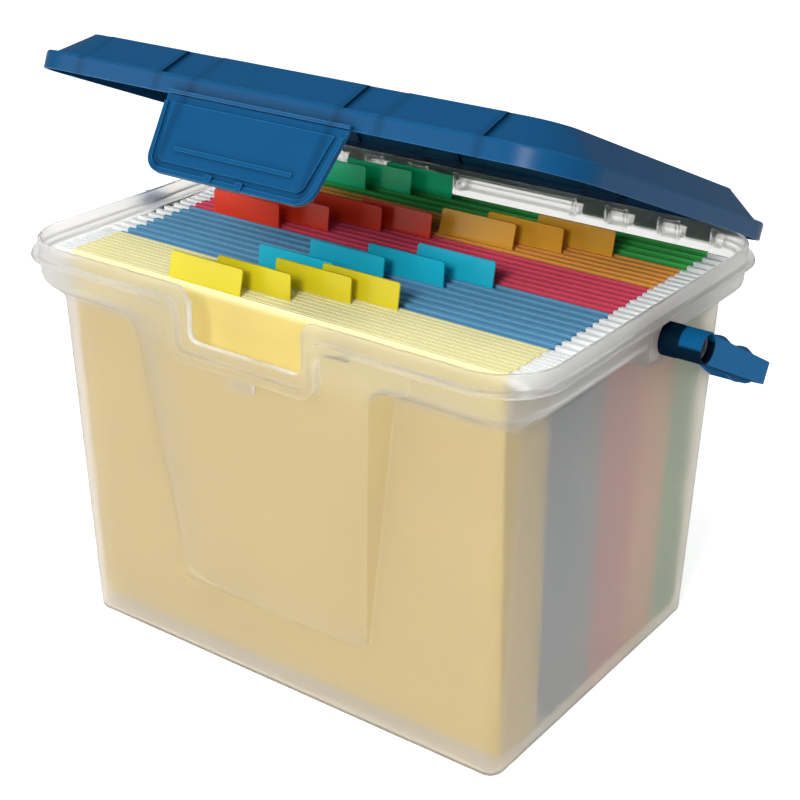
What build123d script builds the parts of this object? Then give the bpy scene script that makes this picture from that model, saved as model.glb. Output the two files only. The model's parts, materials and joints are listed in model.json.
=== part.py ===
from build123d import *
from math import cos, hypot, pi, radians, sin, tan
import os

# A portable file box: a tapered moulded tub with a rim lip and a front notch, a snap-hinged
# lid with a swinging latch flap, a swing handle on two hollow hubs, and five colours of
# hanging folders on metal rods. Millimetres, X along the front, the front facing -Y, +Z up,
# the origin at the centre of the tub's base.

# ---- Tub -------------------------------------------------------------------------------
lip_width = 343.0         # outside of the rim's lip, along X
lip_depth = 264.0         # outside of the rim's lip, along Y
lip_corner = 33.0         # corner radius of the lip
tub_height = 248.0        # base to the top of the lip
wall = 2.0                # moulded wall
floor = 2.4               # moulded floor
edge_round = 0.5          # rounding of the lip's top edges
lip_drop = 8.2            # plain band of the lip above the bead
bead_height = 4.6         # bead that the closed lid lands on
bead_out = 4.3            # how far the bead stands out of the lip
bead_profile = ((0.26, 0.7), (0.57, 1.0), (0.78, 1.0), (1.0, 0.88))   # shares of both
shoulder_in = 0.8         # shoulder band, in from the lip's face
shoulder_drop = 21.0      # lip top to the foot of the shoulder band
slope_in = 15.5           # body top, in from the lip's face
slope_drop = 38.0         # lip top to the body top
slope_steps = 6
body_corner = 12.0        # corner radius at the body top
draft = 6.0               # the wall's lean inwards from body top to base
base_corner = 9.0         # corner radius at the base
base_edge = 4.0           # rounding under the base
edge_steps = 3

# Panel that stands out of the front wall; drops are from the lip's top
panel_half_top = 105.0    # half-width at the shoulder
panel_neck = 80.5         # half-width where the sides start down
panel_half_foot = 66.0    # half-width at the foot
panel_shelf_drop = 25.4   # the step under the shoulder
panel_bend_drop = 23.0    # where the face starts to slant
panel_foot = 52.0         # foot above the base
panel_proud = 0.4         # stand-out from the shoulder band
panel_foot_proud = 1.6    # stand-out from the wall at the foot
panel_step_round = 6.0
panel_neck_round = 15.0
panel_foot_round = 8.0
panel_flank = 0.5         # how far the sides spread for each unit of depth
panel_depth = 20.0        # how deep the block reaches behind its face

# Notch in the front, with its band, ridge and keeper
notch_half = 38.5
notch_deep = 31.0
notch_corner = 6.0
notch_flare = 9.0
band_wide = 11.5          # band beside the notch
band_low = 10.5           # band under the notch
ridge_wide = 5.0          # outer part of the band, as proud as the bead
keeper_half = 8.5
keeper_tall = 6.9
keeper_thick = 2.8

# File rails inside the two ends, and ribs on the inner lip
rail_out = 0.8            # rail's inner face, in from the wall's inside at the body top
rail_thick = 2.0
rail_drop = 14.0          # rail's top below the lip's top
rail_short = 16.0         # rail's ends, in from the lip's face
rib_thick = 2.0
rib_deep = 2.5
rib_tall = 16.0
rib_drop = 2.0

# ---- Lid hinge -------------------------------------------------------------------------
hinge_reach = 7.0         # hinge axis behind the lip's face
hinge_drop = 10.0         # hinge axis below the lip's top
pin_radius = 2.5
pin_clear = 0.08          # running clearance of the knuckles on the pin
lug_radius = 4.0
knuckle_radius = 4.8
knuckle_wide = 17.0
knuckle_slot = 4.4        # snap slot, narrower than the pin
knuckle_at = (56.0, 92.0, 127.0)
window_room = 2.0         # window edge to knuckle
window_half_tall = 6.0
end_lug = 5.0             # width of the outermost lugs
lug_inset = 0.5           # window edge to the lug beside it
pad_proud = 0.8           # pads inside the back lip, round the windows
pad_drop = 3.0
pad_strip = 3.0           # pad below the windows
pad_end = 6.0             # pad beyond the last window

# ---- Lid -------------------------------------------------------------------------------
lid_gap_x = 2.5           # lid skirt to lip, at the ends
lid_gap_y = 1.0           # lid skirt to lip, front and back
lid_wall = 2.0
lid_corner = 36.0
lid_skin = 2.0            # upright thickness of the slope and top
bead_room = 0.2           # shut skirt above the bead
lip_room = 0.4            # lip's top to the lid's underside
skirt_round = 1.8
ledge = 2.5               # flat step from the skirt to the slope
slope_run = 15.5          # the slope's run inwards
lid_rise = 14.1           # skirt to the lid's top
lid_top_round = 1.0
lid_top_corner = 19.0
channel_deep = 2.5        # slope of the channels, behind that of the raised panels
channel_inner = 47.0
channel_outer = 72.0
channel_end = 128.0
lid_rest_angle = 22.5     # how far the lid stands open

# ---- Latch flap ------------------------------------------------------------------------
flap_half = 58.5
flap_taper = 5.4
flap_thick = 2.0
flap_corner = 11.0
flap_gap = 0.3            # flap to the notch ridge when shut, and roll to ledge
flap_rim = 2.6
flap_rim_proud = 1.0
flap_groove = 6.0         # inner edge of the groove inside the rim
flap_bar_half = 38.0
flap_bar_tall = 2.2
flap_bar_up = 12.5        # bar above the flap's lower edge
bump_at = 10.0
bump_wide = 4.0
catch_half = 7.5
catch_tall = 1.7
catch_gap = 0.4           # catch to keeper when shut
catch_up = 0.2            # catch above the flap's lower edge
flap_ledge_tall = 1.8
flap_rest_angle = 15.7    # how far the flap stands out from the skirt

# ---- Swing handle ----------------------------------------------------------------------
pivot_y = 8.0             # behind the middle of the box
pivot_drop = 22.2         # below the lip's top
boss_half = 16.0          # half-width of the wall pad that carries each hub
boss_tall = 21.0
boss_proud = 0.2          # pad stands out of the lip's face
hub_gap = 0.3             # least gap of wall pad to hub, and of snap lip to hub
handle_shift = 2.7        # end play to each side; the handle lies pushed to the left
hub_long = 24.4
hub_radius = 8.9
collar_radius = 9.2
collar_long = 8.0
hub_bore = 6.9
spigot_clear = 0.08       # running clearance of the hub on its spigot
spigot_bore = 4.6
snap_depth = 11.0         # snap lip's seat, in from the hub's outer end
snap_radius = 7.4
snap_long = 2.0
handle_reach = 150.0      # pivot to the outside of the grip
handle_lean = 0.09        # arms lean in by this share of their height
handle_corner = 34.0
handle_band = 9.5         # outer face to inner face of the section
plate = 2.0
web = 2.4
outer_half_foot = 8.0     # half-width of the smooth plate, at the hubs and at the grip
outer_half_grip = 6.5
inner_half_foot = 10.0    # half-width of the scalloped plate, same places
inner_half_grip = 8.8
scallop = 1.1             # half the depth of the scallops
scallop_first = 25.0      # first hollow from the pivot
scallop_pitch = 44.0      # hollow to hollow; a cross web stands in each
scallops = 3
cross_thick = 2.0
cross_at_grip = (0.0, 60.0, 120.0)
plate_level = 14.25       # the plates are level from here to the grip's outer edge
handle_hang = 27.0        # the handle hangs this far below level, behind the tub

# ---- Files -----------------------------------------------------------------------------
rod_show = 6.0            # bare rod between the folder and the rail
file_up = 10.0            # folder's fold above the base
file_over = 6.0           # folder's top above the rails
leaf = 1.3                # folded top edge of a leaf
leaf_low = 0.9            # leaf just above the fold at the bottom
file_gap = 0.25           # between neighbouring folders at the top
front_room = 22.0         # lip's face to the first folder
back_room = 25.0          # lip's face to the last folder
draw_in = 0.93            # the stack is this much narrower at the bottom
rod_thick = 0.6
rod_tip_thick = 1.2       # coated tips, beyond the folder
rod_tip_gap = 0.5
rod_tall = 5.2
rod_clear = 0.1
rod_tip = 3.5             # rod's end beyond its hook's inner edge
rod_hook = 3.4            # hook's tip below the rod
rod_hook_gap = 1.3        # rail to hook
tab_wide = 51.0
tab_tall = 14.5
tab_thick = 1.0
tab_round = 1.5
tab_foot = 1.5            # upright foot of a tab, below its lean
stagger = (0.1, -0.4, 0.6, -0.6, 0.3)   # sideways place of each folder, in turn

# Each colour's share of the stack, front to back, and how many folders it has
stack = {
    "yellow": (39.0, 10),
    "blue": (60.0, 8),
    "red": (45.0, 7),
    "orange": (37.0, 6),
    "green": (36.0, 4),
}
# Left ends of the tabs, the folder that each one stands on, and how far it leans back
tab_places = {
    "yellow": ((-72.0, 0, 14), (-46.5, 3, 5), (-19.5, 7, 5), (6.0, 9, 10)),
    "blue": ((-41.0, 0, 6), (-22.5, 3, 9), (6.5, 5, 4), (28.0, 7, 12)),
    "red": ((-127.5, 0, 4), (-101.0, 2, 8), (-76.0, 5, 6), (-44.5, 6, 10)),
    "orange": ((4.5, 1, 16), (30.0, 3, 8), (55.5, 5, 12)),
    "green": ((-131.5, 1, 6), (-103.5, 2, 9), (-77.0, 3, 5)),
}

# ---- Worked out from the above ---------------------------------------------------------
half_x = lip_width / 2
half_y = lip_depth / 2
base_in = slope_in + draft
bead_top = tub_height - lip_drop
bead_low = bead_top - bead_height
body_top = tub_height - slope_drop
shoulder_low = tub_height - shoulder_drop
notch_bottom = tub_height - notch_deep
band_outer = notch_half + band_wide
band_bottom = notch_bottom - band_low
rail_top = tub_height - rail_drop
rail_face = half_x - slope_in - wall - rail_out
hinge_y = half_y + hinge_reach
hinge_z = tub_height - hinge_drop
window_wide = knuckle_wide + 2 * window_room
lid_half_x = half_x + lid_gap_x + lid_wall
lid_half_y = half_y + lid_gap_y + lid_wall
skirt_low = bead_top + bead_room
skirt_high = tub_height + lip_room + lid_skin
lid_top = skirt_high + lid_rise
flap_inner = -(half_y + bead_out + flap_gap)
flap_pivot_y = flap_inner - flap_thick / 2
flap_pivot_z = skirt_low - flap_thick / 2
flap_low = band_bottom - keeper_tall - catch_gap - catch_tall - catch_up
pivot_z = tub_height - pivot_drop
boss_high = bead_low - bead_room
boss_low = boss_high - boss_tall
boss_face = half_x + boss_proud
hub_start = boss_face + hub_gap + handle_shift
hub_end = hub_start + hub_long
snap_at = hub_end - snap_depth
snap_face = snap_at + handle_shift + hub_gap
spigot_end = snap_face + snap_long
spigot_radius = hub_bore - spigot_clear
grip_in = handle_reach - handle_band
flap_axis = Axis((0, flap_pivot_y, flap_pivot_z), (-1, 0, 0))
lid_axis = Axis((0, hinge_y, hinge_z), (-1, 0, 0))
handle_axis = Axis((0, pivot_y, pivot_z), (-1, 0, 0))
handle_plane = Plane(origin=(0, pivot_y, pivot_z), x_dir=(1, 0, 0), z_dir=(0, -1, 0))
file_half = rail_face - rod_show
file_top = rail_top + file_over
stack_front = -half_y + front_room
stack_back = half_y - back_room
far = lip_width           # longer than anything it has to cut
near = 0.1                # less than any step of an outline
run_out = 1.0             # a cut runs this far past the face it leaves

os.makedirs("parts", exist_ok=True)


def ring_stack(levels, width, depth):
    # A closed stack of rounded rectangles, one for each height, inset and corner radius.
    with BuildPart() as body:
        for height, inset, corner in levels:
            with BuildSketch(Plane.XY.offset(height)):
                RectangleRounded(width - 2 * inset, depth - 2 * inset, corner)
        loft(ruled=True)
    return body.part


def tub_levels(skin):
    # The tub's outside where skin is 0, and its cavity where skin is the wall.
    foot = floor if skin else 0.0
    edge = base_edge - skin
    levels = []
    for step in range(edge_steps + 1):
        turn = pi / 2 * step / edge_steps
        tuck = edge * (1 - sin(turn))
        rise = edge * (1 - cos(turn))
        levels.append((foot + rise, base_in + skin + tuck, base_corner - skin - tuck))
    levels.append((body_top, slope_in + skin, body_corner - skin))
    top_corner = lip_corner - shoulder_in
    for step in range(1, slope_steps + 1):
        share = step / slope_steps
        blend = (1 - cos(pi * share)) / 2
        inset = slope_in + (shoulder_in - slope_in) * blend
        corner = body_corner + (top_corner - body_corner) * blend
        height = body_top + (shoulder_low - body_top) * share
        levels.append((height, inset + skin, corner - skin))
    levels.append((bead_low, shoulder_in + skin, top_corner - skin))
    levels.append((bead_low + shoulder_in, skin, lip_corner - skin))
    rounding = -edge_round if skin else edge_round
    levels.append((tub_height - edge_round, skin, lip_corner - skin))
    levels.append((tub_height, skin + rounding, lip_corner - skin - rounding))
    if skin:
        levels.append((tub_height + 1, skin + rounding, lip_corner - skin - rounding))
    return levels


def bead_levels():
    levels = [(bead_low, shoulder_in, lip_corner - shoulder_in)]
    for up, out in bead_profile:
        levels.append((bead_low + up * bead_height, -out * bead_out, lip_corner + out * bead_out))
    return levels


def front_face_y(skin):
    # Face of the front panel, upright at the top and slanting in to its foot.
    top_y = -(half_y - shoulder_in + panel_proud) if not skin else -(half_y - shoulder_in - skin)
    taper = draft * (1 - panel_foot / body_top)
    foot_y = -(half_y - slope_in - taper + panel_foot_proud) + skin
    return top_y, foot_y


def round_corners(outline, height, picks, radius):
    # Rounds the picked corners, counted from the left, at one height of a sketch.
    row = outline.vertices().filter_by_position(Axis.Y, height - near, height + near).sort_by(Axis.X)
    fillet([row[pick] for pick in picks], radius)


def front_panel(skin):
    # The block of the front panel, drawn in by skin for the hollow behind it. Its sides
    # spread from the slanting face into the wall.
    top_y, foot_y = front_face_y(skin)
    bend = tub_height - panel_bend_drop
    slant = hypot(bend - panel_foot, foot_y - top_y)
    stretch = slant / (bend - panel_foot)
    face = Plane(origin=(0, foot_y, panel_foot), x_dir=(1, 0, 0),
                 z_dir=(0, panel_foot - bend, top_y - foot_y))
    shelf = (tub_height - panel_shelf_drop - panel_foot) * stretch
    top = (bead_low - panel_foot) * stretch + panel_depth
    with BuildPart() as block:
        for depth in (0.0, panel_depth):
            spread = panel_flank * depth - skin
            with BuildSketch(face.offset(-depth)) as outline:
                with BuildLine():
                    Polyline(
                        (-panel_half_top - spread, top),
                        (-panel_half_top - spread, shelf - spread),
                        (-panel_neck - spread, shelf - spread),
                        (-panel_half_foot - spread, -spread),
                        (panel_half_foot + spread, -spread),
                        (panel_neck + spread, shelf - spread),
                        (panel_half_top + spread, shelf - spread),
                        (panel_half_top + spread, top),
                        close=True,
                    )
                make_face()
                round_corners(outline, -spread, (0, 1), panel_foot_round + spread)
                round_corners(outline, shelf - spread, (1, 2), panel_neck_round - spread)
                round_corners(outline, shelf - spread, (0, -1), panel_step_round + spread)
        loft(ruled=True)
        with BuildSketch(Plane.XY.offset(panel_foot - 2 * panel_depth)):
            with Locations((0, (top_y - half_y + slope_in + base_in) / 2)):
                Rectangle(2 * half_x, -half_y + slope_in + base_in - top_y)
        extrude(amount=bead_low - panel_foot + 2 * panel_depth, mode=Mode.INTERSECT)
    return block.part


def notch_block(half, bottom, corner, mouth, crown, near, deep):
    # A U-shaped prism along Y; its sides flare out at the mouth and run on up to the crown.
    wide = band_outer + notch_flare + band_wide
    with BuildPart() as block:
        with BuildSketch(Plane.XZ.offset(near)) as outline:
            with BuildLine():
                Polyline(
                    (-wide, crown),
                    (-wide, mouth),
                    (-half, mouth),
                    (-half, bottom),
                    (half, bottom),
                    (half, mouth),
                    (wide, mouth),
                    (wide, crown),
                    close=True,
                )
            make_face()
            round_corners(outline, bottom, (0, 1), corner)
            round_corners(outline, mouth, (1, 2), notch_flare)
        extrude(amount=deep)
    return block.part


def hub_turn(points, side):
    # A ring about the handle's axis from (x, radius) points, on one side of the tub.
    with BuildPart() as ring:
        with BuildSketch(handle_plane):
            with BuildLine():
                Polyline(*[(side * x, radius) for x, radius in points], close=True)
            make_face()
        revolve(axis=Axis((0, pivot_y, pivot_z), (1, 0, 0)))
    return ring.part


def place_box(x_range, y_range, z_range):
    # A box from its three ranges.
    with BuildPart() as block:
        with BuildSketch(Plane.XY.offset(z_range[0])):
            with Locations(((x_range[0] + x_range[1]) / 2, (y_range[0] + y_range[1]) / 2)):
                Rectangle(x_range[1] - x_range[0], y_range[1] - y_range[0])
        extrude(amount=z_range[1] - z_range[0])
    return block.part


def box_pair(x_range, y_range, z_range):
    # The same box on the right and on the left.
    mirrored = (-x_range[1], -x_range[0])
    return [place_box(x_range, y_range, z_range), place_box(mirrored, y_range, z_range)]


def hinge_profile(x_low, x_high, radius, arm_y, arm_low, arm_high):
    # A round about the hinge axis with an arm forward to arm_y, between two X positions.
    with BuildPart() as lug:
        with BuildSketch(Plane.YZ.offset(x_low)):
            with Locations((hinge_y, hinge_z)):
                Circle(radius)
            with BuildLine():
                Polyline(
                    (arm_y, arm_low),
                    (hinge_y, arm_low),
                    (hinge_y, arm_high),
                    (arm_y, arm_high),
                    close=True,
                )
            make_face()
        extrude(amount=x_high - x_low)
    return lug.part


# ---- The tub -----------------------------------------------------------------------------
tub_outside = ring_stack(tub_levels(0.0), lip_width, lip_depth)
tub_cavity = ring_stack(tub_levels(wall), lip_width, lip_depth)
bead = ring_stack(bead_levels(), lip_width, lip_depth)
panel = front_panel(0.0)
panel_hollow = front_panel(wall)

# Pads that carry the handle's hubs, hollow from inside like the rest of the wall
boss_inner_x = half_x - slope_in - wall
bosses = box_pair(
    (boss_inner_x, boss_face),
    (pivot_y - boss_half, pivot_y + boss_half),
    (boss_low, boss_high),
)
boss_pockets = box_pair(
    (boss_inner_x - wall, boss_face - wall),
    (pivot_y - boss_half + wall, pivot_y + boss_half - wall),
    (boss_low + wall, boss_high - wall),
)
spigot_points = (
    (boss_face - wall / 2, spigot_bore),
    (boss_face - wall / 2, spigot_radius),
    (snap_face, spigot_radius),
    (snap_face, snap_radius),
    (snap_face + snap_long / 2, snap_radius),
    (spigot_end, spigot_radius - edge_round),
    (spigot_end, spigot_bore),
)
spigots = [hub_turn(spigot_points, side) for side in (-1, 1)]

# Band and ridge round the notch, the notch itself, and the keeper under it
band_corner = notch_corner + ridge_wide
band_back = half_y - wall - panel_foot_proud
band = notch_block(band_outer, band_bottom, band_corner, bead_low, bead_top, band_back,
                   half_y - band_back)
ridge_full = notch_block(band_outer, band_bottom, band_corner, bead_low, bead_top, half_y, bead_out)
notch_mouth = notch_block(band_outer - ridge_wide, band_bottom + ridge_wide, notch_corner, bead_top,
                          bead_top + run_out, half_y, bead_out + run_out)
ridge = ridge_full - notch_mouth
notch = notch_block(notch_half, notch_bottom, notch_corner, tub_height, tub_height + run_out,
                    half_y - slope_in, slope_in + bead_out + run_out)
keeper = place_box(
    (-keeper_half, keeper_half),
    (-half_y - bead_out, -half_y - bead_out + keeper_thick),
    (band_bottom - keeper_tall, band_bottom + run_out),
)

# File rails, kept inside the tub's skin
rails = box_pair(
    (rail_face, rail_face + rail_thick),
    (-half_y + rail_short, half_y - rail_short),
    (body_top - rail_thick, rail_top),
)

# Hinge windows: thin wall between raised pads inside the back lip, with a rib at each side,
# and a break in the bead outside where the knuckle turns
window_low = hinge_z - window_half_tall
window_high = hinge_z + window_half_tall
pad_y = (half_y - wall - pad_proud, half_y - wall / 2)
pad_z = (window_low, tub_height - pad_drop)
pad_x = knuckle_at[0] - window_wide / 2
pad_limit = knuckle_at[-1] + window_wide / 2 + pad_end
ribs = [
    place_box((-pad_x, pad_x), pad_y, pad_z),
    place_box((-pad_limit, pad_limit), pad_y, (window_low - pad_strip, window_low)),
]
bead_breaks = []
rib_y = (half_y - wall - rib_deep, half_y - wall / 2)
rib_z = (tub_height - rib_drop - rib_tall, tub_height - rib_drop)
pad_ends = [at - window_wide / 2 for at in knuckle_at[1:]] + [pad_limit]
for at, pad_far in zip(knuckle_at, pad_ends):
    window_edge = (at - window_wide / 2, at + window_wide / 2)
    bead_breaks += box_pair(window_edge, (half_y, half_y + bead_out + run_out), (window_low, window_high))
    ribs += box_pair((window_edge[1], pad_far), pad_y, pad_z)
    ribs += box_pair((window_edge[0] - rib_thick, window_edge[0]), rib_y, rib_z)
    ribs += box_pair((window_edge[1], window_edge[1] + rib_thick), rib_y, rib_z)

# Hinge pins, and the lugs that carry them
pin_start = knuckle_at[0] - window_wide / 2 - lug_inset - end_lug
pin_end = knuckle_at[-1] + window_wide / 2 + lug_inset + end_lug
lug_edges = [pin_start]
for at in knuckle_at:
    lug_edges += [at - window_wide / 2 - lug_inset, at + window_wide / 2 + lug_inset]
lug_edges.append(pin_end)
lugs = []
for low, high in zip(lug_edges[::2], lug_edges[1::2]):
    for span in ((low, high), (-high, -low)):
        lugs.append(hinge_profile(*span, lug_radius, half_y - wall / 2, hinge_z - lug_radius,
                                  bead_top - edge_round))

with BuildPart() as tub:
    add([tub_outside, bead - notch_mouth, panel] + bosses)
    add([tub_cavity, panel_hollow] + boss_pockets, mode=Mode.SUBTRACT)
    add([band, ridge, keeper])
    add([notch] + bead_breaks, mode=Mode.SUBTRACT)
    add([rail & tub_outside for rail in rails] + ribs + lugs + spigots)
    for start in (pin_start, -pin_end):
        with BuildSketch(Plane.YZ.offset(start)):
            with Locations((hinge_y, hinge_z)):
                Circle(pin_radius)
        extrude(amount=pin_end - pin_start)

tub.part.label = "tub"
export_step(tub.part, "parts/tub.step")


# ---- The lid, drawn shut -----------------------------------------------------------------
def lid_levels(sunk, skin):
    # The lid's outside where skin is 0; sunk sets the slope back for the channels.
    wall_in = lid_wall if skin else 0.0
    drop = lid_skin if skin else 0.0
    start = ledge + sunk
    top_in = start + slope_run
    rise = lid_top - drop - lid_top_round
    if skin:
        levels = [
            (skirt_low - run_out, wall_in, lid_corner - wall_in),
            (skirt_high - drop - bead_room, wall_in, lid_corner - wall_in),
        ]
    else:
        levels = [(skirt_low, 0.0, lid_corner)]
        for step in range(edge_steps):
            turn = pi / 2 * step / edge_steps
            tuck = skirt_round * (1 - cos(turn))
            levels.append((skirt_high - skirt_round * (1 - sin(turn)), tuck, lid_corner - tuck))
    levels.append((skirt_high - drop, start, lid_corner - start))
    levels.append((rise, top_in, lid_top_corner + lid_top_round))
    levels.append((rise + lid_top_round, top_in + lid_top_round, lid_top_corner))
    return levels


def channel_slabs(spread):
    # Blocks over the four channels and the two ends, widened by spread on every side.
    spans = [
        (channel_inner - spread, channel_outer + spread),
        (channel_end - spread, lid_half_x + run_out),
        (-channel_outer - spread, -channel_inner + spread),
        (-lid_half_x - run_out, -channel_end + spread),
    ]
    across = (-lid_half_y - run_out, lid_half_y + run_out)
    heights = (skirt_low - run_out, lid_top + run_out)
    return [place_box(span, across, heights) for span in spans]


def lid_mass(skin):
    raised = ring_stack(lid_levels(0.0, skin), 2 * lid_half_x, 2 * lid_half_y)
    sunk = ring_stack(lid_levels(channel_deep, skin), 2 * lid_half_x, 2 * lid_half_y)
    with BuildPart() as mass:
        add(raised)
        add(channel_slabs(skin), mode=Mode.SUBTRACT)
        add(sunk)
    return mass.part


# Snap knuckles on the back of the skirt, and the pin holes and snap slots through them
lid_outside = lid_mass(0.0)
lid_hollow = lid_mass(lid_wall)
knuckles = []
for at in knuckle_at:
    for middle in (-at, at):
        knuckles.append(hinge_profile(middle - knuckle_wide / 2, middle + knuckle_wide / 2, knuckle_radius,
                                      lid_half_y - lid_wall / 2, skirt_low, hinge_z + knuckle_radius))
knuckle_reach = knuckle_at[-1] + window_wide
# Ledge that the latch flap hangs under
flap_ledge = place_box(
    (-flap_half, flap_half),
    (flap_inner - flap_thick, -lid_half_y + lid_wall / 2),
    (skirt_low + flap_gap, skirt_low + flap_gap + flap_ledge_tall),
)

with BuildPart() as lid_shut:
    add(lid_outside)
    add(lid_hollow, mode=Mode.SUBTRACT)
    add(knuckles)
    for start, run in ((-knuckle_reach, knuckle_reach - knuckle_at[0] + window_wide),
                       (knuckle_at[0] - window_wide, knuckle_reach - knuckle_at[0] + window_wide)):
        with BuildSketch(Plane.YZ.offset(start)):
            with Locations((hinge_y, hinge_z)):
                Circle(pin_radius + pin_clear)
            with Locations((hinge_y, hinge_z - knuckle_radius)):
                Rectangle(knuckle_slot, 2 * knuckle_radius)
        extrude(amount=run, mode=Mode.SUBTRACT)
    add(flap_ledge)

lid_swung = lid_shut.part.rotate(lid_axis, lid_rest_angle)
with BuildPart() as lid:
    add(lid_swung)
lid.part.label = "lid"
export_step(lid.part, "parts/lid.step")


# ---- The latch flap ----------------------------------------------------------------------
def flap_block(inset, near, thick):
    # The flap's outline drawn in by inset, from one depth forward.
    top = flap_pivot_z - 2 * inset / 3
    low = flap_low + inset
    half_top = flap_half - inset
    half_low = flap_half - flap_taper - inset
    with BuildPart() as block:
        with BuildSketch(Plane.XZ.offset(-near)) as outline:
            with BuildLine():
                Polyline((-half_top, top), (-half_low, low), (half_low, low), (half_top, top), close=True)
            make_face()
            round_corners(outline, low, (0, 1), flap_corner - inset)
        extrude(amount=thick)
    return block.part


# Plate, rim outside a groove and raised field inside it, and the long bar
flap_face = flap_inner - flap_thick
flap_plate = flap_block(0.0, flap_inner, flap_thick)
flap_rim_full = flap_block(0.0, flap_face, flap_rim_proud)
flap_rim_inner = flap_block(flap_rim, flap_face, flap_rim_proud)
flap_field = flap_block(flap_groove, flap_face, flap_rim_proud)
flap_head = place_box((-flap_half, flap_half), (flap_face - flap_thick, flap_inner),
                      (flap_pivot_z - 2 * flap_thick, flap_pivot_z + flap_thick))
flap_details = [
    place_box(
        (-flap_bar_half, flap_bar_half),
        (flap_face - 2 * flap_rim_proud, flap_face),
        (flap_low + flap_bar_up, flap_low + flap_bar_up + flap_bar_tall),
    ),
    # Catch that goes under the keeper
    place_box(
        (-catch_half, catch_half),
        (flap_inner - edge_round, flap_inner + flap_thick),
        (flap_low + catch_up, flap_low + catch_up + catch_tall),
    ),
]
for middle in (-bump_at, bump_at):
    flap_details.append(place_box(
        (middle - bump_wide / 2, middle + bump_wide / 2),
        (flap_face - 2 * flap_rim_proud, flap_face),
        (flap_low + edge_round, flap_low + bump_wide),
    ))

with BuildPart() as flap_shut:
    add([flap_plate, flap_rim_full - flap_rim_inner - flap_head, flap_field - flap_head] + flap_details)
    with BuildSketch(Plane.YZ.offset(-flap_half)):
        with Locations((flap_pivot_y, flap_pivot_z)):
            Circle(flap_thick / 2)
    extrude(amount=2 * flap_half)

flap_swung = flap_shut.part.rotate(flap_axis, flap_rest_angle).rotate(lid_axis, lid_rest_angle)
with BuildPart() as lid_flap:
    add(flap_swung)
lid_flap.part.label = "lid_flap"
export_step(lid_flap.part, "parts/lid_flap.step")


# ---- The swing handle, drawn upright in its own plane ---------------------------------------
def handle_area(inset):
    # The area inside the handle's outer edge, drawn in by inset; it runs on below the hubs.
    foot = hub_end - inset
    top = handle_reach - inset
    dip = -3 * hub_radius
    with BuildSketch() as area:
        with BuildLine():
            Polyline(
                (-foot + handle_lean * dip, dip),
                (-foot + handle_lean * top, top),
                (foot - handle_lean * top, top),
                (foot - handle_lean * dip, dip),
                close=True,
            )
        make_face()
        round_corners(area, top, (0, 1), handle_corner - inset)
    return area.sketch


def handle_slice(outer_inset, inner_inset, half):
    # The handle's band between two insets from its outer edge, as thick as 2 x half.
    outer_area = handle_area(outer_inset)
    inner_area = handle_area(inner_inset)
    with BuildPart() as band:
        with BuildSketch(handle_plane):
            add(outer_area)
            add(inner_area, mode=Mode.SUBTRACT)
            with Locations((0, -far)):
                Rectangle(2 * far, 2 * far, mode=Mode.SUBTRACT)
        extrude(amount=half, both=True)
    return band.part


def plate_envelope(half_foot, half_grip, depth):
    # Side view of a plate: it tapers up the arms in waves of this depth, then stays level.
    edge = [(half_foot, -hub_radius)]
    for count in range(2 * scallops - 1):
        height = scallop_first + count * scallop_pitch / 2
        half = half_foot + (half_grip - half_foot) * height / handle_reach
        edge.append((half + (depth if count % 2 else -depth), height))
    edge.append((half_grip, handle_reach - plate_level))
    crown = handle_reach + plate
    with BuildPart() as envelope:
        with BuildSketch(Plane(origin=(-far, pivot_y, pivot_z), x_dir=(0, 1, 0), z_dir=(1, 0, 0))):
            with BuildLine():
                Spline(*edge)
                Spline(*[(-across, height) for across, height in edge])
                Line((-edge[0][0], edge[0][1]), edge[0])
                Polyline(edge[-1], (half_grip, crown), (-half_grip, crown), (-half_grip, edge[-1][1]))
            make_face()
        extrude(amount=2 * far)
    return envelope.part


hub_points = (
    (hub_start, hub_bore),
    (hub_start, collar_radius),
    (hub_start + collar_long, collar_radius),
    (hub_start + collar_long, hub_radius),
    (hub_end, hub_radius),
    (hub_end, hub_bore),
)
bore_points = (
    (hub_start - run_out, 0.0),
    (hub_start - run_out, hub_bore),
    (snap_at, hub_bore),
    (snap_at, snap_radius + hub_gap),
    (hub_end + run_out, snap_radius + hub_gap),
    (hub_end + run_out, 0.0),
)
smooth_plate = handle_slice(0.0, plate, 2 * outer_half_foot) & \
    plate_envelope(outer_half_foot, outer_half_grip, 0.0)
waved_plate = handle_slice(handle_band - plate, handle_band, 2 * inner_half_foot) & \
    plate_envelope(inner_half_foot, inner_half_grip, scallop)
middle_web = handle_slice(0.0, handle_band, web / 2)
cross_webs = []
for count in range(scallops):
    height = scallop_first + count * scallop_pitch
    outer = hub_end - handle_lean * height
    half = outer_half_foot + (outer_half_grip - outer_half_foot) * height / handle_reach
    cross_webs += box_pair(
        (outer - handle_band + plate / 2, outer - plate / 2),
        (pivot_y - half, pivot_y + half),
        (pivot_z + height - cross_thick / 2, pivot_z + height + cross_thick / 2),
    )
for along in cross_at_grip:
    cross_webs += box_pair(
        (along - cross_thick / 2, along + cross_thick / 2),
        (pivot_y - outer_half_grip, pivot_y + outer_half_grip),
        (pivot_z + grip_in + plate / 2, pivot_z + handle_reach - plate / 2),
    )
hubs = [hub_turn(hub_points, side) for side in (-1, 1)]
bores = [hub_turn(bore_points, side) for side in (-1, 1)]

with BuildPart() as handle_up:
    add([smooth_plate, waved_plate, middle_web] + cross_webs + hubs)
    add(bores, mode=Mode.SUBTRACT)

handle_swung = Pos(-handle_shift, 0, 0) * handle_up.part.rotate(handle_axis, 90 + handle_hang)
with BuildPart() as bail_handle:
    add(handle_swung)
bail_handle.part.label = "bail_handle"
export_step(bail_handle.part, "parts/bail_handle.step")


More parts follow.
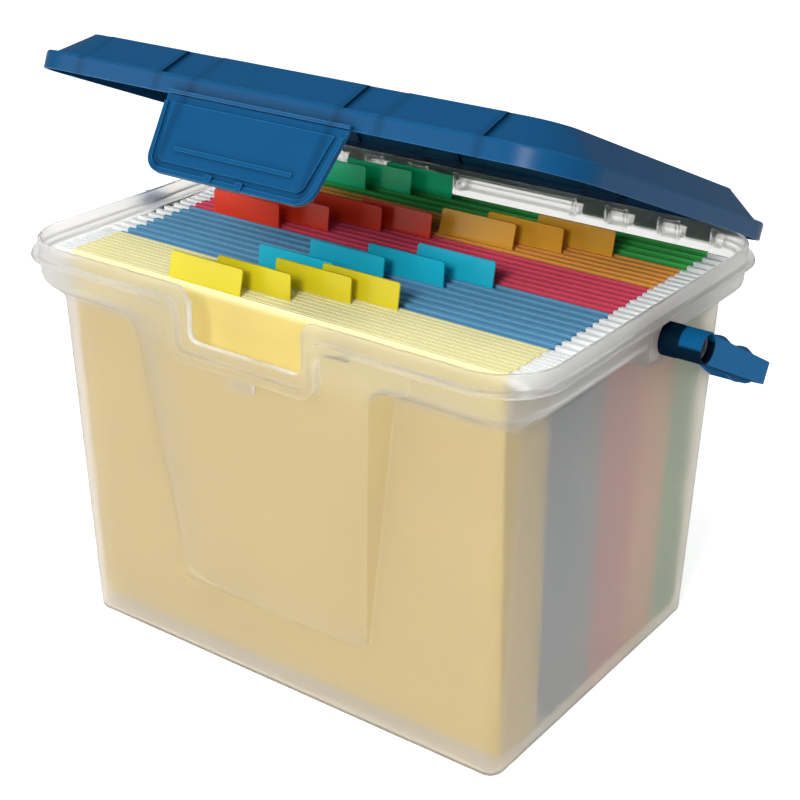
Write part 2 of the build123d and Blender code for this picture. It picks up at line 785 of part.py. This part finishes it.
# ---- Folders, rods and tabs -----------------------------------------------------------------
def folder_slots(colour):
    # Front, back and sideways place of every folder of a colour at the top edge.
    names = list(stack)
    total = sum(thick for thick, count in stack.values())
    before = sum(stack[name][0] for name in names[:names.index(colour)])
    thick, count = stack[colour]
    scale = (stack_back - stack_front) / total
    pitch = thick * scale / count
    slots = []
    for turn in range(count):
        front = stack_front + before * scale + pitch * turn
        slots.append((front, front + pitch - file_gap, stagger[turn % len(stagger)]))
    return slots


def tab_plate(left, front, lean):
    # An index tab: an upright foot on the leaf's edge and a plate that leans back.
    back = front + tab_thick
    rise = tab_tall - tab_foot
    sway = rise * tan(radians(lean))
    with BuildPart() as tab:
        with BuildSketch(Plane.YZ.offset(left)):
            with BuildLine():
                Polyline(
                    (front, file_top),
                    (front, file_top + tab_foot),
                    (front + sway, file_top + tab_tall),
                    (back + sway, file_top + tab_tall),
                    (back, file_top + tab_foot),
                    (back, file_top),
                    close=True,
                )
            make_face()
        extrude(amount=tab_wide)
        with BuildSketch(Plane.XZ.offset(-back - sway - run_out)) as outline:
            with Locations((left + tab_wide / 2, file_top + tab_tall / 2)):
                Rectangle(tab_wide, tab_tall)
            round_corners(outline, file_top + tab_tall, (0, 1), tab_round)
        extrude(amount=tab_thick + sway + 2 * run_out, mode=Mode.INTERSECT)
    return tab.part


rod_low = rail_top + rod_clear
rod_high = rod_low + rod_tall
fold_low = rod_low - 2 * rod_clear
rod_start = file_half + rod_tip_gap
hook_in = rail_face + rail_thick + rod_hook_gap
hook_low = rod_low - rod_hook
rod_half = hook_in + rod_tip

for colour in stack:
    slots = folder_slots(colour)
    with BuildPart() as folders:
        for front, back, aside in slots:
            foot_front = front * draw_in
            foot_back = back * draw_in
            middle = (foot_front + foot_back) / 2
            with BuildSketch(Plane.YZ.offset(aside - file_half)):
                with BuildLine():
                    Polyline(
                        (front, file_top),
                        (foot_front, file_up),
                        (foot_back, file_up),
                        (back, file_top),
                        (back - leaf, file_top),
                        (back - leaf, fold_low),
                        (middle, file_up + leaf_low),
                        (front + leaf, fold_low),
                        (front + leaf, file_top),
                        close=True,
                    )
                make_face()
                for leaf_middle in (front + leaf / 2, back - leaf / 2):
                    with Locations((leaf_middle, rod_low + rod_tall / 2)):
                        Rectangle(rod_thick + 2 * rod_clear, rod_tall + 2 * rod_clear, mode=Mode.SUBTRACT)
            extrude(amount=2 * file_half)
    folders.part.label = f"folders_{colour}"
    export_step(folders.part, f"parts/folders_{colour}.step")

    with BuildPart() as rods:
        for front, back, aside in slots:
            for leaf_middle in (front + leaf / 2, back - leaf / 2):
                with BuildSketch(Plane.XZ.offset(-leaf_middle - rod_thick / 2)):
                    with Locations((aside, (rod_low + rod_high) / 2)):
                        Rectangle(2 * rod_start, rod_tall)
                extrude(amount=rod_thick)
                with BuildSketch(Plane.XZ.offset(-leaf_middle - rod_tip_thick / 2)):
                    for side in (-1, 1):
                        with BuildLine():
                            Polyline(
                                (aside + side * rod_start, rod_high),
                                (aside + side * rod_half, rod_high),
                                (aside + side * rod_half, hook_low),
                                (aside + side * hook_in, hook_low),
                                (aside + side * hook_in, rod_low),
                                (aside + side * rod_start, rod_low),
                                close=True,
                            )
                        make_face()
                extrude(amount=rod_tip_thick)
    rods.part.label = f"rods_{colour}"
    export_step(rods.part, f"parts/rods_{colour}.step")

    plates = [tab_plate(left + slots[turn][2], slots[turn][0] + (leaf - tab_thick) / 2, lean)
              for left, turn, lean in tab_places[colour]]
    with BuildPart() as tabs:
        add(plates)
    tabs.part.label = f"tabs_{colour}"
    export_step(tabs.part, f"parts/tabs_{colour}.step")
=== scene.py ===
import json
import math

import bmesh
import bpy
from mathutils import Matrix, Vector


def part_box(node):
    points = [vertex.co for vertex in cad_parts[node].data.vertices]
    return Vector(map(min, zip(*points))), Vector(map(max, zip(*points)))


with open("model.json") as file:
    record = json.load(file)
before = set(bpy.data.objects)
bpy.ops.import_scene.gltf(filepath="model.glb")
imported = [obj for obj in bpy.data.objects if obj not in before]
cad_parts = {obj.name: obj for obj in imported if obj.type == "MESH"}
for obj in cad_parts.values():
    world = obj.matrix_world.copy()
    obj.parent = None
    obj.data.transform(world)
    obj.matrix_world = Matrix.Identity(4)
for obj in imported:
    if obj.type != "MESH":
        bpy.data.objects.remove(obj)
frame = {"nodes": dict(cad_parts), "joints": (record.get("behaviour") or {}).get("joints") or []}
nodes = frame["nodes"]
joints = {joint["name"]: joint for joint in frame["joints"]}
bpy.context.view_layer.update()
print("frame loaded:", len(nodes), "nodes")

view = {
    "azimuth": 35.69,         # degrees round from the front
    "elevation": 24.93,
    "roll": 0.51,
    "distance": 0.98327,
    "side": 0.00476,          # aim point, to the right of the middle
    "height": 0.1447,         # aim point above the floor
    "focalPixels": 1641.43,
    "framePixels": 800,
    "sensorWidth": 36,
    "nearest": 0.05,          # nothing closer than this is drawn
}


def placeCamera():
    az, el, roll = (math.radians(view[key]) for key in ("azimuth", "elevation", "roll"))
    back = Vector((math.sin(az) * math.cos(el), -math.cos(az) * math.cos(el), math.sin(el)))
    level = Vector((math.cos(az), math.sin(az), 0))
    upright = back.cross(level)
    right = level * math.cos(roll) + upright * math.sin(roll)
    up = upright * math.cos(roll) - level * math.sin(roll)
    aim = level * view["side"] + Vector((0, 0, view["height"]))
    data = bpy.data.cameras.new("photoCamera")
    camera = bpy.data.objects.new("photoCamera", data)
    bpy.context.scene.collection.objects.link(camera)
    turn = Matrix((right, up, back)).transposed().to_4x4()
    camera.matrix_world = Matrix.Translation(aim + back * view["distance"]) @ turn
    data.sensor_fit = "HORIZONTAL"
    data.sensor_width = view["sensorWidth"]
    data.lens = view["focalPixels"] / view["framePixels"] * data.sensor_width
    data.clip_start = view["nearest"]
    bpy.context.scene.camera = camera


placeCamera()
print("camera placed")


def giveInput(tree, target, value):
    # value is a number, a colour or another node's output
    if isinstance(value, bpy.types.NodeSocket):
        tree.links.new(value, target)
    else:
        target.default_value = value


def mathNode(tree, operation, *values, clamp=False):
    node = tree.nodes.new("ShaderNodeMath")
    node.operation = operation
    node.use_clamp = clamp
    for target, value in zip(node.inputs, values):
        giveInput(tree, target, value)
    return node.outputs[0]


def rampNode(tree, value, low, high, start=0, end=1, smooth=True):
    # start where the value is low, end where it is high
    ramp = tree.nodes.new("ShaderNodeMapRange")
    ramp.interpolation_type = "SMOOTHSTEP" if smooth else "LINEAR"
    giveInput(tree, ramp.inputs["Value"], value)
    giveInput(tree, ramp.inputs["From Min"], low)
    giveInput(tree, ramp.inputs["From Max"], high)
    giveInput(tree, ramp.inputs["To Min"], start)
    giveInput(tree, ramp.inputs["To Max"], end)
    return ramp.outputs["Result"]


def noiseNode(tree, place, scale, detail):
    noise = tree.nodes.new("ShaderNodeTexNoise")
    giveInput(tree, noise.inputs["Vector"], place)
    giveInput(tree, noise.inputs["Scale"], scale)
    giveInput(tree, noise.inputs["Detail"], detail)
    return noise.outputs["Fac"]


def objectPlace(tree):
    return tree.nodes.new("ShaderNodeTexCoord").outputs["Object"]


def axesOf(tree, vector):
    split = tree.nodes.new("ShaderNodeSeparateXYZ")
    tree.links.new(vector, split.inputs["Vector"])
    return split.outputs


def darkened(tree, amount, depth):
    # 1, less the depth where the amount is full
    return mathNode(tree, "SUBTRACT", 1, mathNode(tree, "MULTIPLY", amount, depth))


def newGroup(name, given, made):
    # given has the inputs' names and values, made the outputs' names; all are plain numbers
    tree = bpy.data.node_groups.new(name, "ShaderNodeTree")
    for label, value in given.items():
        socket = tree.interface.new_socket(label, in_out="INPUT", socket_type="NodeSocketFloat")
        socket.default_value = value
    for label in made:
        tree.interface.new_socket(label, in_out="OUTPUT", socket_type="NodeSocketFloat")
    return tree, tree.nodes.new("NodeGroupInput").outputs, tree.nodes.new("NodeGroupOutput").inputs


skinNoise = {"pebbleDetail": 3, "slowScale": 14, "slowDetail": 4}


def makeMouldedSkin():
    # fine pebbled skin of moulded plastic, with slow changes of tone and gloss
    given = {"Scale": 900.0, "Tone": 0.05, "Gloss": 0.4, "Spread": 0.08}
    tree, use, made = newGroup("mouldedSkin", given, ("Tone", "Roughness", "Height"))
    place = objectPlace(tree)
    pebbles = noiseNode(tree, place, use["Scale"], skinNoise["pebbleDetail"])
    slow = noiseNode(tree, place, skinNoise["slowScale"], skinNoise["slowDetail"])
    aboutZero = mathNode(tree, "SUBTRACT", slow, 0.5)
    giveInput(tree, made["Tone"], mathNode(tree, "MULTIPLY_ADD", aboutZero, use["Tone"], 1))
    giveInput(tree, made["Roughness"], mathNode(tree, "MULTIPLY_ADD", aboutZero, use["Spread"], use["Gloss"]))
    giveInput(tree, made["Height"], pebbles)
    return tree


fibreNoise = {
    "stretch": (0.08, 1, 1),      # streaks run along the folder
    "scale": 1800,
    "detail": 5,
    "mottleScale": 35,
    "mottleDetail": 3,
}


def makeCardFibre():
    # paper fibre: short streaks, flecks and a little mottling
    tree, use, made = newGroup("cardFibre", {"Tone": 0.1, "Flecks": 0.06}, ("Tone", "Height"))
    place = objectPlace(tree)
    stretch = tree.nodes.new("ShaderNodeMapping")
    stretch.inputs["Scale"].default_value = fibreNoise["stretch"]
    tree.links.new(place, stretch.inputs["Vector"])
    fibre = noiseNode(tree, stretch.outputs["Vector"], fibreNoise["scale"], fibreNoise["detail"])
    mottle = noiseNode(tree, place, fibreNoise["mottleScale"], fibreNoise["mottleDetail"])
    aboutZero = mathNode(tree, "SUBTRACT", mottle, 0.5)
    mottled = mathNode(tree, "MULTIPLY_ADD", aboutZero, use["Tone"], 1)
    aboutZero = mathNode(tree, "SUBTRACT", fibre, 0.5)
    giveInput(tree, made["Tone"], mathNode(tree, "MULTIPLY_ADD", aboutZero, use["Flecks"], mottled))
    giveInput(tree, made["Height"], fibre)
    return tree


def makeHeightZone():
    # 0 below one height of the object and 1 above another
    tree, use, made = newGroup("heightZone", {"Low": 0.0, "High": 0.1}, ("Zone",))
    place = axesOf(tree, objectPlace(tree))
    giveInput(tree, made["Zone"], rampNode(tree, place["Z"], use["Low"], use["High"]))
    return tree


lineFade = {"gone": -0.006, "full": -0.001}      # heights from the stack's top edge


def makeStackLines():
    # thin lines of painted shade across the top of the stack, between the folders, one each pitch, counted
    # back from its front
    given = {"From": 0.0, "Pitch": 0.004, "Part": 0.2, "Depth": 0.3, "Top": 0.24}
    tree, use, made = newGroup("stackLines", given, ("Tone",))
    place = axesOf(tree, objectPlace(tree))
    back = mathNode(tree, "SUBTRACT", place["Y"], use["From"])
    share = mathNode(tree, "FRACT", mathNode(tree, "DIVIDE", back, use["Pitch"]))
    line = rampNode(tree, share, mathNode(tree, "SUBTRACT", 1, use["Part"]), 1)
    height = mathNode(tree, "SUBTRACT", place["Z"], use["Top"])
    upper = rampNode(tree, height, lineFade["gone"], lineFade["full"])
    shown = mathNode(tree, "MULTIPLY", line, upper)
    giveInput(tree, made["Tone"], darkened(tree, shown, use["Depth"]))
    return tree


pivot = joints["handle_pivot"]["pos_m"]
hubReflection = {
    "low": 0.0005,            # heights above the pivot where the painted reflection starts and is full
    "high": 0.0025,
    "lighter": 0.55,
}


def makeHubShade():
    # hubs round the pivot darker, partly for their thick walls and partly as painted shade from the lid and
    # rim, with a lighter painted reflection high on each outer half
    given = {"Radius": 0.01, "Dark": 0.8, "ReflectionFrom": 0.2}
    tree, use, made = newGroup("hubShade", given, ("Tone",))
    centred = tree.nodes.new("ShaderNodeMapping")
    centred.inputs["Location"].default_value = [-value for value in pivot]
    tree.links.new(objectPlace(tree), centred.inputs["Vector"])
    place = axesOf(tree, centred.outputs["Vector"])
    flat = tree.nodes.new("ShaderNodeCombineXYZ")
    for axis in "YZ":
        tree.links.new(place[axis], flat.inputs[axis])
    away = tree.nodes.new("ShaderNodeVectorMath")
    away.operation = "LENGTH"
    tree.links.new(flat.outputs["Vector"], away.inputs[0])
    near = mathNode(tree, "LESS_THAN", away.outputs["Value"], use["Radius"])
    outer = mathNode(tree, "GREATER_THAN", mathNode(tree, "ABSOLUTE", place["X"]), use["ReflectionFrom"])
    paintedReflection = rampNode(tree, place["Z"], hubReflection["low"], hubReflection["high"], 0, hubReflection["lighter"])
    lighter = mathNode(tree, "MULTIPLY", outer, paintedReflection)
    dark = mathNode(tree, "SUBTRACT", near, lighter, clamp=True)
    giveInput(tree, made["Tone"], darkened(tree, dark, use["Dark"]))
    return tree


bandInputs = ("PlaceA", "PlaceB", "PlaceC")


def makeShadeAndThickBands():
    # painted shade where a place is closed in, and darker soft bands at three distances from the middle, over
    # the channel walls
    given = {"Depth": 0.5, "Bands": 0.0, "Closed": 1.0, "Width": 0.004}
    given.update({label: 0.1 for label in bandInputs})
    tree, use, made = newGroup("shadeAndThickBands", given, ("Tone",))
    side = mathNode(tree, "ABSOLUTE", axesOf(tree, objectPlace(tree))["X"])
    darkest = 0
    for label in bandInputs:
        gap = mathNode(tree, "ABSOLUTE", mathNode(tree, "SUBTRACT", side, use[label]))
        darkest = mathNode(tree, "MAXIMUM", darkest, rampNode(tree, gap, 0, use["Width"], 1, 0))
    darkBands = mathNode(tree, "MULTIPLY", darkest, use["Bands"])
    shut = mathNode(tree, "SUBTRACT", 1, use["Closed"])
    darkness = mathNode(tree, "MULTIPLY_ADD", shut, use["Depth"], darkBands)
    giveInput(tree, made["Tone"], mathNode(tree, "SUBTRACT", 1, darkness, clamp=True))
    return tree


mouldedSkin = makeMouldedSkin()
cardFibre = makeCardFibre()
heightZone = makeHeightZone()
stackLines = makeStackLines()
hubShade = makeHubShade()
shadeAndThickBands = makeShadeAndThickBands()
print("shader groups made")

finish = {
    "grooveSamples": 8,
    "edgeSamples": 4,
    "edgeNone": 0.992,            # rounded and true normals as alike as this: no edge
    "edgeFull": 0.90,
    "frostSpread": 0.4,
    "pebbleHeight": 0.0003,
    "fibreHeight": 0.0002,
}


def placeGroup(tree, group, values):
    node = tree.nodes.new("ShaderNodeGroup")
    node.node_tree = group
    for label, value in values.items():
        giveInput(tree, node.inputs[label], value)
    return node.outputs


def startMaterial(name):
    material = bpy.data.materials.new(name)
    material.use_nodes = True
    return material, material.node_tree, material.node_tree.nodes["Principled BSDF"]


def shadeAndThickTone(tree, look):
    # painted shade in grooves, pockets and gaps, and darker bands where the tinted plastic is thick over
    # walls behind
    closed = tree.nodes.new("ShaderNodeAmbientOcclusion")
    closed.samples = finish["grooveSamples"]
    closed.inputs["Distance"].default_value = look["grooveReach"]
    values = {"Closed": closed.outputs["AO"], "Depth": look["grooveShade"]}
    if "bandDepth" in look:
        values.update(Bands=look["bandDepth"], Width=look["bandWidth"])
        values.update(zip(bandInputs, look["bandPlaces"]))
    return placeGroup(tree, shadeAndThickBands, values)["Tone"]


def mixedColour(tree, factor, first, second):
    # first is a colour or another node's output, second a colour
    mix = tree.nodes.new("ShaderNodeMix")
    mix.data_type = "RGBA"
    giveInput(tree, mix.inputs["A"], (*first, 1) if isinstance(first, tuple) else first)
    giveInput(tree, mix.inputs["B"], (*second, 1))
    giveInput(tree, mix.inputs["Factor"], factor)
    return mix.outputs["Result"]


def paleEdges(tree, look, colour):
    # edges and creases of moulded plastic catch the light: a paler colour along them
    rounded = tree.nodes.new("ShaderNodeBevel")
    rounded.samples = finish["edgeSamples"]
    rounded.inputs["Radius"].default_value = look["edgeWidth"]
    surface = tree.nodes.new("ShaderNodeNewGeometry")
    alike = tree.nodes.new("ShaderNodeVectorMath")
    alike.operation = "DOT_PRODUCT"
    tree.links.new(rounded.outputs["Normal"], alike.inputs[0])
    tree.links.new(surface.outputs["Normal"], alike.inputs[1])
    along = rampNode(tree, alike.outputs["Value"], finish["edgeNone"], finish["edgeFull"], smooth=False)
    return mixedColour(tree, along, colour, look["edge"])


def tonedColour(tree, look, tone):
    # the colour, with "upper" above a height and "edge" along edges, times a tone about 1
    colour = look["colour"]
    if "upper" in look:
        low, high = look["upperFrom"]
        zone = placeGroup(tree, heightZone, {"Low": low, "High": high})["Zone"]
        colour = mixedColour(tree, zone, colour, look["upper"])
    if "edge" in look:
        colour = paleEdges(tree, look, colour)
    scaled = tree.nodes.new("ShaderNodeVectorMath")
    scaled.operation = "SCALE"
    giveInput(tree, scaled.inputs[0], colour)
    giveInput(tree, scaled.inputs["Scale"], tone)
    return scaled.outputs["Vector"]


def addBump(tree, height, shader, strength, distance):
    bump = tree.nodes.new("ShaderNodeBump")
    bump.inputs["Strength"].default_value = strength
    bump.inputs["Distance"].default_value = distance
    tree.links.new(height, bump.inputs["Height"])
    tree.links.new(bump.outputs["Normal"], shader.inputs["Normal"])


def plasticMaterial(name, look):
    material, tree, shader = startMaterial(name)
    values = {"Scale": look["grain"], "Tone": look["toneSpread"]}
    values.update(Gloss=look["roughness"], Spread=look["glossSpread"])
    skin = placeGroup(tree, mouldedSkin, values)
    tone = skin["Tone"]
    if "grooveReach" in look:
        tone = mathNode(tree, "MULTIPLY", shadeAndThickTone(tree, look), tone)
    if "hub" in look:
        tone = mathNode(tree, "MULTIPLY", placeGroup(tree, hubShade, look["hub"])["Tone"], tone)
    tree.links.new(tonedColour(tree, look, tone), shader.inputs["Base Color"])
    tree.links.new(skin["Roughness"], shader.inputs["Roughness"])
    addBump(tree, skin["Height"], shader, look["bump"], finish["pebbleHeight"])
    shader.inputs["IOR"].default_value = look["ior"]
    shader.inputs["Specular IOR Level"].default_value = look["shine"]
    shader.inputs["Transmission Weight"].default_value = look["through"]
    shader.inputs["Sheen Weight"].default_value = look["frost"]
    shader.inputs["Sheen Roughness"].default_value = finish["frostSpread"]
    return material


def cardMaterial(name, look):
    material, tree, shader = startMaterial(name)
    fibre = placeGroup(tree, cardFibre, {"Tone": look["mottle"], "Flecks": look["flecks"]})
    tone = mathNode(tree, "MULTIPLY", shadeAndThickTone(tree, look), fibre["Tone"])
    tone = mathNode(tree, "MULTIPLY", placeGroup(tree, stackLines, look["lines"])["Tone"], tone)
    tree.links.new(tonedColour(tree, look, tone), shader.inputs["Base Color"])
    addBump(tree, fibre["Height"], shader, look["bump"], finish["fibreHeight"])
    shader.inputs["Roughness"].default_value = look["roughness"]
    shader.inputs["Specular IOR Level"].default_value = look["shine"]
    return material


def dress(nodeName, material):
    mesh = nodes[nodeName].data
    mesh.materials.clear()
    mesh.materials.append(material)


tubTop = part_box("tub")[1][2]
frostedLook = {
    "colour": (0.82, 0.78, 0.71),
    "upper": (0.84, 0.83, 0.81),          # shoulder and lip, clear of the files
    "upperFrom": (tubTop - 0.043, tubTop - 0.026),
    "edge": (0.99, 0.99, 0.98),
    "edgeWidth": 0.0014,
    "roughness": 0.42,
    "glossSpread": 0.06,
    "toneSpread": 0.04,
    "grain": 1100.0,
    "bump": 0.10,
    "ior": 1.24,
    "shine": 0.5,
    "through": 0.90,
    "frost": 0.04,
}
dress("tub", plasticMaterial("frostedPlastic", frostedLook))
print("tub dressed")

blueLook = {
    "colour": (0.004, 0.072, 0.19),
    "edge": (0.015, 0.17, 0.40),
    "edgeWidth": 0.0008,
    "roughness": 0.32,
    "glossSpread": 0.08,
    "toneSpread": 0.12,
    "grain": 1400.0,
    "bump": 0.06,
    "ior": 1.49,
    "shine": 0.09,
    "through": 0.12,
    "frost": 0.0,
    # painted shade in the grooves and pockets, reaching this far
    "grooveReach": 0.006,
    "grooveShade": 0.85,
    "bandDepth": 0.25,            # over the sides of the lid's channels
    "bandWidth": 0.005,
    "bandPlaces": (0.047, 0.072, 0.128),
}
bluePlastic = plasticMaterial("bluePlastic", blueLook)
dress("lid", bluePlastic)
dress("lid_flap", bluePlastic)
print("lid and flap dressed")

# the handle's blue, paler than the lid's, is painted light: its thin arms lit through from behind; its
# grooves get painted shade
handleLook = dict(blueLook, colour=(0.006, 0.165, 0.42), bandDepth=0.0, grooveReach=0.010, shine=0.0)
handleLook["hub"] = {"Radius": 0.0095, "Dark": 0.94, "ReflectionFrom": 0.1835}
dress("bail_handle", plasticMaterial("handlePlastic", handleLook))
print("handle dressed")

fileColours = {
    "yellow": {
        "card": (0.66, 0.525, 0.168),
        "fold": (0.93, 0.87, 0.46),       # painted highlight along the folded top edges
        "foldDrop": 0.007,                # the painted highlight fades out this far below the top
        "gapShade": 0.0,                  # no painted shade between the close yellow stack's leaves
        "stack": (-0.110, -0.071),        # front and back of the colour's folders
        "lines": 10,                      # lines of painted shade across them
        "tab": (0.84, 0.72, 0.02),
    },
    "blue": {
        "card": (0.045, 0.19, 0.37),
        "fold": (0.15, 0.40, 0.62),
        "foldDrop": 0.003,
        "gapShade": 0.3,
        "stack": (-0.071, -0.011),
        "lines": 16,
        "tab": (0.015, 0.60, 0.80),
    },
    "red": {
        "card": (0.58, 0.034, 0.085),
        "fold": (0.88, 0.09, 0.16),
        "foldDrop": 0.003,
        "gapShade": 0.3,
        "stack": (-0.011, 0.034),
        "lines": 14,
        "tab": (0.92, 0.06, 0.02),
    },
    "orange": {
        "card": (0.80, 0.30, 0.034),
        "fold": (0.98, 0.42, 0.08),
        "foldDrop": 0.003,
        "gapShade": 0.3,
        "stack": (0.034, 0.071),
        "lines": 12,
        "tab": (0.95, 0.50, 0.04),
    },
    "green": {
        "card": (0.03, 0.38, 0.06),
        "fold": (0.08, 0.58, 0.12),
        "foldDrop": 0.003,
        "gapShade": 0.3,
        "stack": (0.071, 0.107),
        "lines": 8,
        "tab": (0.01, 0.95, 0.42),
    },
}
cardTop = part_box("folders_yellow")[1][2]
cardLook = {
    "mottle": 0.10,
    "flecks": 0.06,
    "bump": 0.03,
    "roughness": 0.75,
    "shine": 0.25,
    "grooveReach": 0.004,         # painted shade darkens the gaps between the leaves
    "foldFull": 0.0001,           # below the top edge
    # the lines across the stack are painted shade between the folders
    "linePart": 0.3,              # a line's share of its pitch
    "lineDepth": 0.28,
}


def dressFolders(colour):
    row = fileColours[colour]
    front, back = row["stack"]
    lines = {"From": front, "Pitch": (back - front) / row["lines"], "Top": cardTop}
    lines.update(Part=cardLook["linePart"], Depth=cardLook["lineDepth"])
    look = dict(cardLook, colour=row["card"], upper=row["fold"], grooveShade=row["gapShade"], lines=lines)
    look["upperFrom"] = (cardTop - row["foldDrop"], cardTop - cardLook["foldFull"])
    dress("folders_" + colour, cardMaterial("card" + colour.capitalize(), look))


tabLook = {
    "roughness": 0.3,
    "glossSpread": 0.1,
    "toneSpread": 0.08,
    "grain": 700.0,
    "bump": 0.05,
    "ior": 1.49,
    "shine": 0.3,
    "through": 0.3,
    "frost": 0.0,
}


def dressTabs(colour):
    look = dict(tabLook, colour=fileColours[colour]["tab"])
    dress("tabs_" + colour, plasticMaterial("tab" + colour.capitalize(), look))


rodLook = {
    "colour": (0.92, 0.94, 0.93),
    "roughness": 0.4,
    "glossSpread": 0.1,
    "toneSpread": 0.05,
    "grain": 500.0,
    "bump": 0.05,
    "ior": 1.45,
    "shine": 0.4,
    "through": 0.0,
    "frost": 0.0,
}
rodCoating = plasticMaterial("rodCoating", rodLook)
for colour in fileColours:
    dressFolders(colour)
    dressTabs(colour)
    dress("rods_" + colour, rodCoating)
print("files dressed")

studio = {
    "floorSize": 8.0,
    "floorDrop": 0.0003,          # keeps the floor clear of the tub's base
    "floorColour": (0.92, 0.92, 0.92, 1),
    "floorRoughness": 0.9,
    "floorGlow": (0.6, 0.6, 0.6, 1),
    "worldColour": (1, 1, 1, 1),
    "worldLight": 0.48,
    "worldShine": 0.16,           # what glossy surfaces see of the world
    "aim": (0.0, 0.0, 0.15),
}
lamps = {
    "keyLamp": {"place": (0.50, -1.95, 1.32), "size": 0.6, "energy": 29.5},
    "fillLamp": {"place": (-1.5, -1.6, 0.7), "size": 1.2, "energy": 9.0},
    "topLamp": {"place": (0.15, -0.85, 2.0), "size": 0.8, "energy": 13.0},
}


def addLamp(name):
    data = bpy.data.lights.new(name, "AREA")
    data.size = lamps[name]["size"]
    data.energy = lamps[name]["energy"]
    lamp = bpy.data.objects.new(name, data)
    bpy.context.scene.collection.objects.link(lamp)
    lamp.location = lamps[name]["place"]
    lamp.rotation_euler = (Vector(studio["aim"]) - lamp.location).to_track_quat("-Z", "Y").to_euler()


def seenByCamera(tree, path):
    # 1 for what the camera sees, straight or through the frosted plastic
    rays = (path.outputs["Is Camera Ray"], path.outputs["Is Transmission Ray"])
    return mathNode(tree, "MAXIMUM", *rays)


def addFloor():
    bm = bmesh.new()
    bmesh.ops.create_grid(bm, x_segments=1, y_segments=1, size=studio["floorSize"] / 2)
    mesh = bpy.data.meshes.new("floor")
    bm.to_mesh(mesh)
    bm.free()
    floor = bpy.data.objects.new("floor", mesh)
    bpy.context.scene.collection.objects.link(floor)
    floor.location = (0, 0, -studio["floorDrop"])
    material, tree, shader = startMaterial("floorPaper")
    shader.inputs["Base Color"].default_value = studio["floorColour"]
    shader.inputs["Roughness"].default_value = studio["floorRoughness"]
    shader.inputs["Specular IOR Level"].default_value = 0
    shader.inputs["Emission Color"].default_value = studio["floorGlow"]
    path = tree.nodes.new("ShaderNodeLightPath")
    tree.links.new(seenByCamera(tree, path), shader.inputs["Emission Strength"])
    floor.data.materials.append(material)


def setWorld():
    world = bpy.data.worlds.new("studio")
    bpy.context.scene.world = world
    world.use_nodes = True
    tree = world.node_tree
    back = tree.nodes["Background"]
    back.inputs["Color"].default_value = studio["worldColour"]
    path = tree.nodes.new("ShaderNodeLightPath")
    glossy = path.outputs["Is Glossy Ray"]
    light = rampNode(tree, glossy, 0, 1, studio["worldLight"], studio["worldShine"], smooth=False)
    white = rampNode(tree, seenByCamera(tree, path), 0, 1, light, 1, smooth=False)
    tree.links.new(white, back.inputs["Strength"])


addFloor()
setWorld()
for name in lamps:
    addLamp(name)
bpy.context.scene.view_settings.view_transform = "Standard"
print("studio set")
